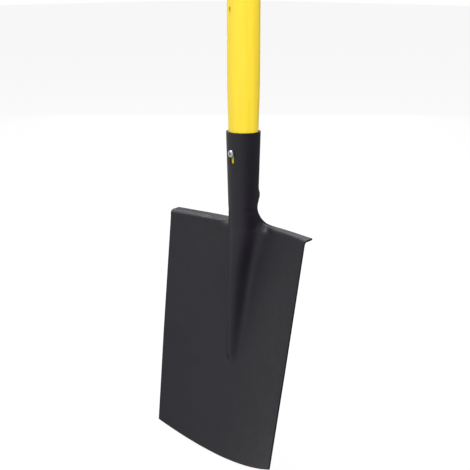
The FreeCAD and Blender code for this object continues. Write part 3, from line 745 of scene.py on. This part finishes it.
def make_cross_bolt(zinc):
    """Cross-recess bolt through the yoke, with its domed sleeve nut behind."""
    radius = (BOLT_HIGH.z - BOLT_LOW.z) / 2
    height = WASHER_LOW.y - BOLT_LOW.y
    mesh = pan_head_mesh("yoke_pan_head_bolt", radius, height, (0, WASHER_LOW.y, CROSS_Z), TO_FRONT,
                         CROSS_RADIUS, BOLT_HIGH.y - WASHER_LOW.y, 1.2)
    new_piece("yoke_pan_head_bolt", mesh, "zinc_steel", [zinc], "yoke_cross_bolt")
    tall = NUT_HIGH.y - NUT_LOW.y
    cap = [(radius, 0.35 * tall), (0.97 * radius, 0.55 * tall), (0.86 * radius, 0.78 * tall),
           (0.66 * radius, 0.95 * tall), (0.5 * radius, tall), (CROSS_RADIUS + 0.5, tall)]
    outline = [(CROSS_RADIUS, 0), (radius - 0.15, 0), (radius, 0.15), *cap, (CROSS_RADIUS, tall - 0.5)]
    nut = turned_mesh("yoke_domed_nut", outline, (0, NUT_LOW.y, CROSS_Z), TO_BACK, steps=64)
    new_piece("yoke_domed_nut", nut, "zinc_steel", [zinc], "yoke_cross_nut")


def make_washers(zinc):
    """Two plain washers with soft stamped edges, under the bolt's head and under its nut."""
    radius = (WASHER_HIGH.z - WASHER_LOW.z) / 2
    thick = (WASHER_HIGH.y - WASHER_LOW.y) / 2 - YOKE_RADIUS
    rings = []
    for front, facing in ((WASHER_LOW.y + thick, TO_FRONT), (WASHER_HIGH.y - thick, TO_BACK)):
        rings.append(turned_mesh("washer", softened([
            (CROSS_RADIUS + 0.1, 0), (radius, 0, 0.15), (radius, thick, 0.35),
            (CROSS_RADIUS + 0.1, thick)], 3), (0, front, CROSS_Z), facing))
    mesh = smooth_shaded(merged("yoke_bolt_washers", rings))
    return new_piece("yoke_bolt_washers", mesh, "zinc_steel", [zinc], "yoke_washers")


# ---------------------------------------------------------------- camera, floor and light
CAMERA_TURN, CAMERA_TILT = math.radians(44.0), math.radians(15.12)
TO_CAMERA = Vector((math.sin(CAMERA_TURN) * math.cos(CAMERA_TILT),
                    -math.cos(CAMERA_TURN) * math.cos(CAMERA_TILT), math.sin(CAMERA_TILT)))
CAMERA_RIGHT = Vector((math.cos(CAMERA_TURN), math.sin(CAMERA_TURN), 0))
CAMERA_DISTANCE, CAMERA_LENS = 1071.6, 73.88
AIM_ABOVE_TREADS, AIM_LEFT, AIM_DOWN = 52.4, 9.2, 64.14
DIM_SIDE = CAMERA_RIGHT            # direction of the studio's dim wall


def make_camera():
    """Seen from the front right and a little above, at the distance of a product picture."""
    up = TO_CAMERA.cross(CAMERA_RIGHT)
    target = Vector((0, AXIS_Y, TREAD_Z + AIM_ABOVE_TREADS)) - AIM_LEFT * CAMERA_RIGHT - AIM_DOWN * up
    camera = bpy.data.objects.new("camera", bpy.data.cameras.new("camera"))
    bpy.context.scene.collection.objects.link(camera)
    camera.data.sensor_width = 36.0
    camera.data.lens = CAMERA_LENS
    camera.location = (target + TO_CAMERA * CAMERA_DISTANCE) * MM
    camera.rotation_mode = "QUATERNION"
    camera.rotation_quaternion = (-TO_CAMERA).to_track_quat("-Z", "Y")
    camera.data.clip_start, camera.data.clip_end = 0.05, 60.0
    bpy.context.scene.camera = camera


def stage_material(name, glow, tone):
    """Pale matt surface that also glows, as a lit studio sweep does."""
    material = bpy.data.materials.new(name)
    material.use_nodes = True
    shader = material.node_tree.nodes["Principled BSDF"]
    shader.inputs["Base Color"].default_value = (tone, tone, tone, 1)
    shader.inputs["Roughness"].default_value = 1.0
    shader.inputs["Specular IOR Level"].default_value = 0.0
    shader.inputs["Emission Color"].default_value = (1, 1, 1, 1)
    shader.inputs["Emission Strength"].default_value = glow
    return material


def make_stage():
    """Pale floor and a white surround; the object is lit by the lights, not by these."""
    bpy.ops.mesh.primitive_plane_add(size=30, location=(0, 0, -0.0005))
    floor = bpy.context.object
    floor.name = "floor"
    floor.data.materials.append(stage_material("pale_floor", 0.88, 0.12))
    bpy.ops.mesh.primitive_uv_sphere_add(segments=48, ring_count=24, radius=20)
    surround = bpy.context.object
    surround.name = "surround"
    surround.data.materials.append(stage_material("white_surround", 1.0, 0.0))
    surround.visible_shadow = False
    for thing in (floor, surround):
        thing.visible_diffuse = thing.visible_glossy = thing.visible_transmission = False


def area_light(name, place, aim, size, radiance, glossy=True):
    """Round soft light of a radiance; one that isn't glossy shows in no reflection."""
    light = bpy.data.objects.new(name, bpy.data.lights.new(name, "AREA"))
    bpy.context.scene.collection.objects.link(light)
    light.data.shape, light.data.size = "DISK", size
    light.data.energy = radiance * math.pi * math.pi * size ** 2 / 4
    light.location = place
    light.rotation_mode = "QUATERNION"
    light.rotation_quaternion = (Vector(aim) - Vector(place)).to_track_quat("-Z", "Y")
    light.visible_glossy, light.visible_camera = glossy, False


def make_world(dim, bright):
    """Studio walls, fixed in the frame: bright on the object's left and dim on its right."""
    world = bpy.data.worlds.new("studio")
    world.use_nodes = True
    nodes, links = world.node_tree.nodes, world.node_tree.links
    side = nodes.new("ShaderNodeVectorMath")
    side.operation = "DOT_PRODUCT"
    side.inputs[1].default_value = DIM_SIDE
    links.new(nodes.new("ShaderNodeTexCoord").outputs["Generated"], side.inputs[0])
    fade = nodes.new("ShaderNodeMapRange")
    fade.interpolation_type = "SMOOTHSTEP"
    fade.inputs["From Min"].default_value, fade.inputs["From Max"].default_value = 0.6, -0.3
    fade.inputs["To Min"].default_value, fade.inputs["To Max"].default_value = dim, bright
    links.new(side.outputs["Value"], fade.inputs["Value"])
    links.new(fade.outputs["Result"], nodes["Background"].inputs["Strength"])
    nodes["Background"].inputs["Color"].default_value = (1, 1, 1, 1)
    bpy.context.scene.world = world


def make_lights():
    make_world(0.17, 0.58)
    middle = (0, 0, 0.45)
    area_light("key", (-0.9, -1.7, 2.1), middle, 1.2, 10.0)
    area_light("top", (-0.55, 0.2, 2.5), middle, 1.5, 7.0)
    area_light("fill", (2.2, -0.6, 1.3), middle, 1.6, 8.5, glossy=False)
    area_light("back_panel", (-1.9, 2.0, 0.7), middle, 2.0, 0.8)


# ---------------------------------------------------------------- the whole spade
def make_spade():
    paint, zinc = powder_coat(), zinc_plate()
    plastic, rubber = moulded_black(), soft_touch()
    make_head(paint)
    make_sheath(yellow_plastic(), dent_painted_shade())
    make_socket_screw(zinc)
    make_yoke(plastic)
    make_collar(rubber)
    make_pad(rubber)
    make_end_cap("left", TO_LEFT, plastic)
    make_end_cap("right", TO_RIGHT, plastic)
    make_cross_bolt(zinc)
    make_washers(zinc)
    inner = {"shaft_core": glass_fibre(), "lower_core_plug": turned_wood(), "upper_core_plug": turned_wood(),
             "grip_bar_tube": zinc, "grip_bar_sleeve": plastic, "grip_bar_bolt": zinc,
             "grip_bar_nut": zinc, "grip_bar_washers": zinc}
    for name, material in inner.items():
        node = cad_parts[name]
        node.data.materials.clear()
        node.data.materials.append(material)


make_camera()
make_spade()
make_stage()
make_lights()
bpy.context.scene.view_settings.view_transform = "Standard"
